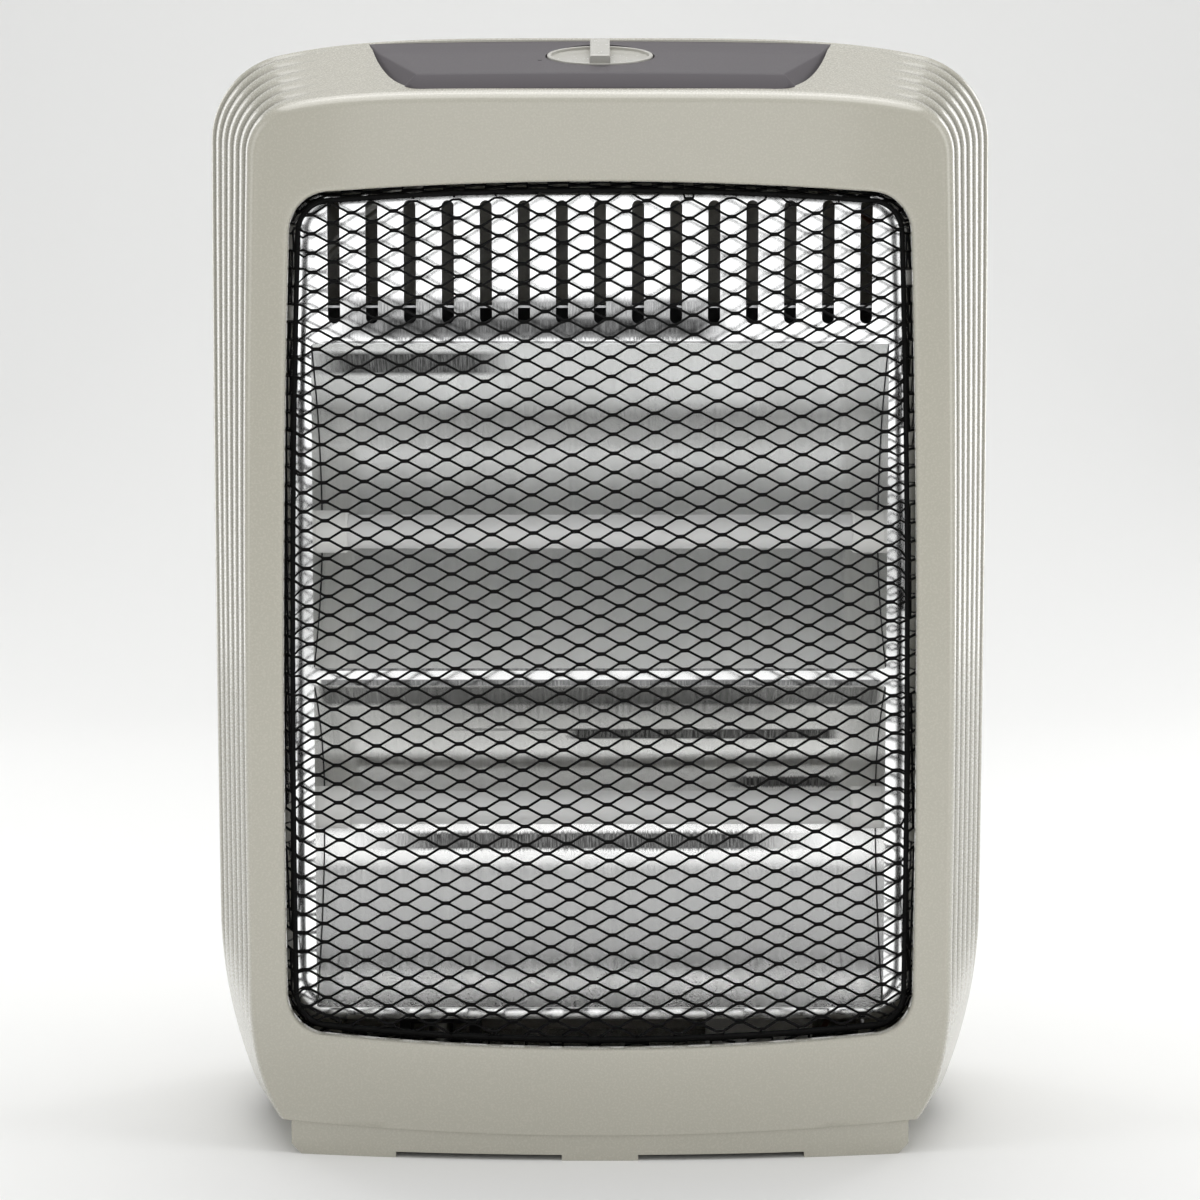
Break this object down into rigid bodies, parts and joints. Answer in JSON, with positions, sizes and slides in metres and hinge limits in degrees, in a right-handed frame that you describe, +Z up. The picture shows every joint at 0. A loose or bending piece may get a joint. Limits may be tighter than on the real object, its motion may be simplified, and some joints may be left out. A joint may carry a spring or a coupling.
{
  "type": "electric bar heater",
  "caption": "Free-standing electric bar heater: quartz tubes in bright reflectors behind an expanded-metal guard, in a moulded body with grooved sides and a selector knob on top.",
  "frame": {"origin": "On the floor, under the middle of the heater's bounding box", "axes": "+Z up; the front, with the guard, faces -Y; +X to the right as seen from the front"},
  "size_m": [0.2774, 0.146, 0.388],
  "materials": {
    "body_plastic": "satin moulded plastic, warm ivory grey",
    "panel_plastic": "fine grained moulded plastic, mid grey",
    "knob_plastic": "smooth moulded plastic, pale ivory",
    "guard_metal": "matt black heat-proof paint on expanded metal",
    "reflector_metal": "bright rolled sheet",
    "quartz": "milky quartz glass",
    "resistance_wire": "drawn heating wire",
    "ceramic": "unglazed white ceramic",
    "steel": "zinc plated steel",
    "black_plastic": "black moulded plastic",
    "gland_rubber": "black rubber",
    "white_sleeve": "white silicone sleeve",
    "brown_sleeve": "brown insulation",
    "blue_sleeve": "blue insulation"
  },
  "bodies": {
    "heater": {"front_cover": "body_plastic", "rear_cover": "body_plastic", "base": "body_plastic", "control_panel": "panel_plastic", "rotary_switch": "black_plastic", "switch_screws": "steel", "guard_mesh": "guard_metal", "slotted_plate": "reflector_metal", "reflector_upper": "reflector_metal", "reflector_lower": "reflector_metal", "cheek_left": "reflector_metal", "cheek_right": "reflector_metal", "quartz_tube_upper": "quartz", "quartz_tube_lower": "quartz", "heating_coil_upper": "resistance_wire", "heating_coil_lower": "resistance_wire", "end_cap_upper_left": "ceramic", "end_cap_upper_right": "ceramic", "end_cap_lower_left": "ceramic", "end_cap_lower_right": "ceramic", "tube_bracket_left": "steel", "tube_bracket_right": "steel", "terminal_screws": "steel", "heat_shield": "reflector_metal", "thermal_cutout": "black_plastic", "terminal_block": "ceramic", "cord_gland": "gland_rubber", "tip_switch": "black_plastic", "tip_spring": "steel", "lead_inlet": "brown_sleeve", "lead_switch": "brown_sleeve", "lead_upper": "white_sleeve", "lead_lower": "white_sleeve", "lead_link": "white_sleeve", "lead_return": "white_sleeve", "lead_neutral": "blue_sleeve", "cover_screws": "steel", "base_screws": "steel", "plate_screws": "steel", "shield_screws": "steel"},
    "knob": {"selector_knob": "knob_plastic", "switch_shaft": "steel"},
    "plunger": {"tip_plunger": "black_plastic"}
  },
  "joints": [
    {"name": "knob_turn", "type": "hinge", "parent": "heater", "child": "knob", "pos_m": [0, -0.028, 0.38022], "axis": [0, 0.225, -0.9744], "range_deg": [0, 180]},
    {"name": "plunger_slide", "type": "slide", "parent": "heater", "child": "plunger", "axis": [0, 0, -1], "range_m": [0, 0.004], "stiffness_N_per_m": 300, "springref_m": 0.006, "deforming": ["tip_spring"]}
  ]
}
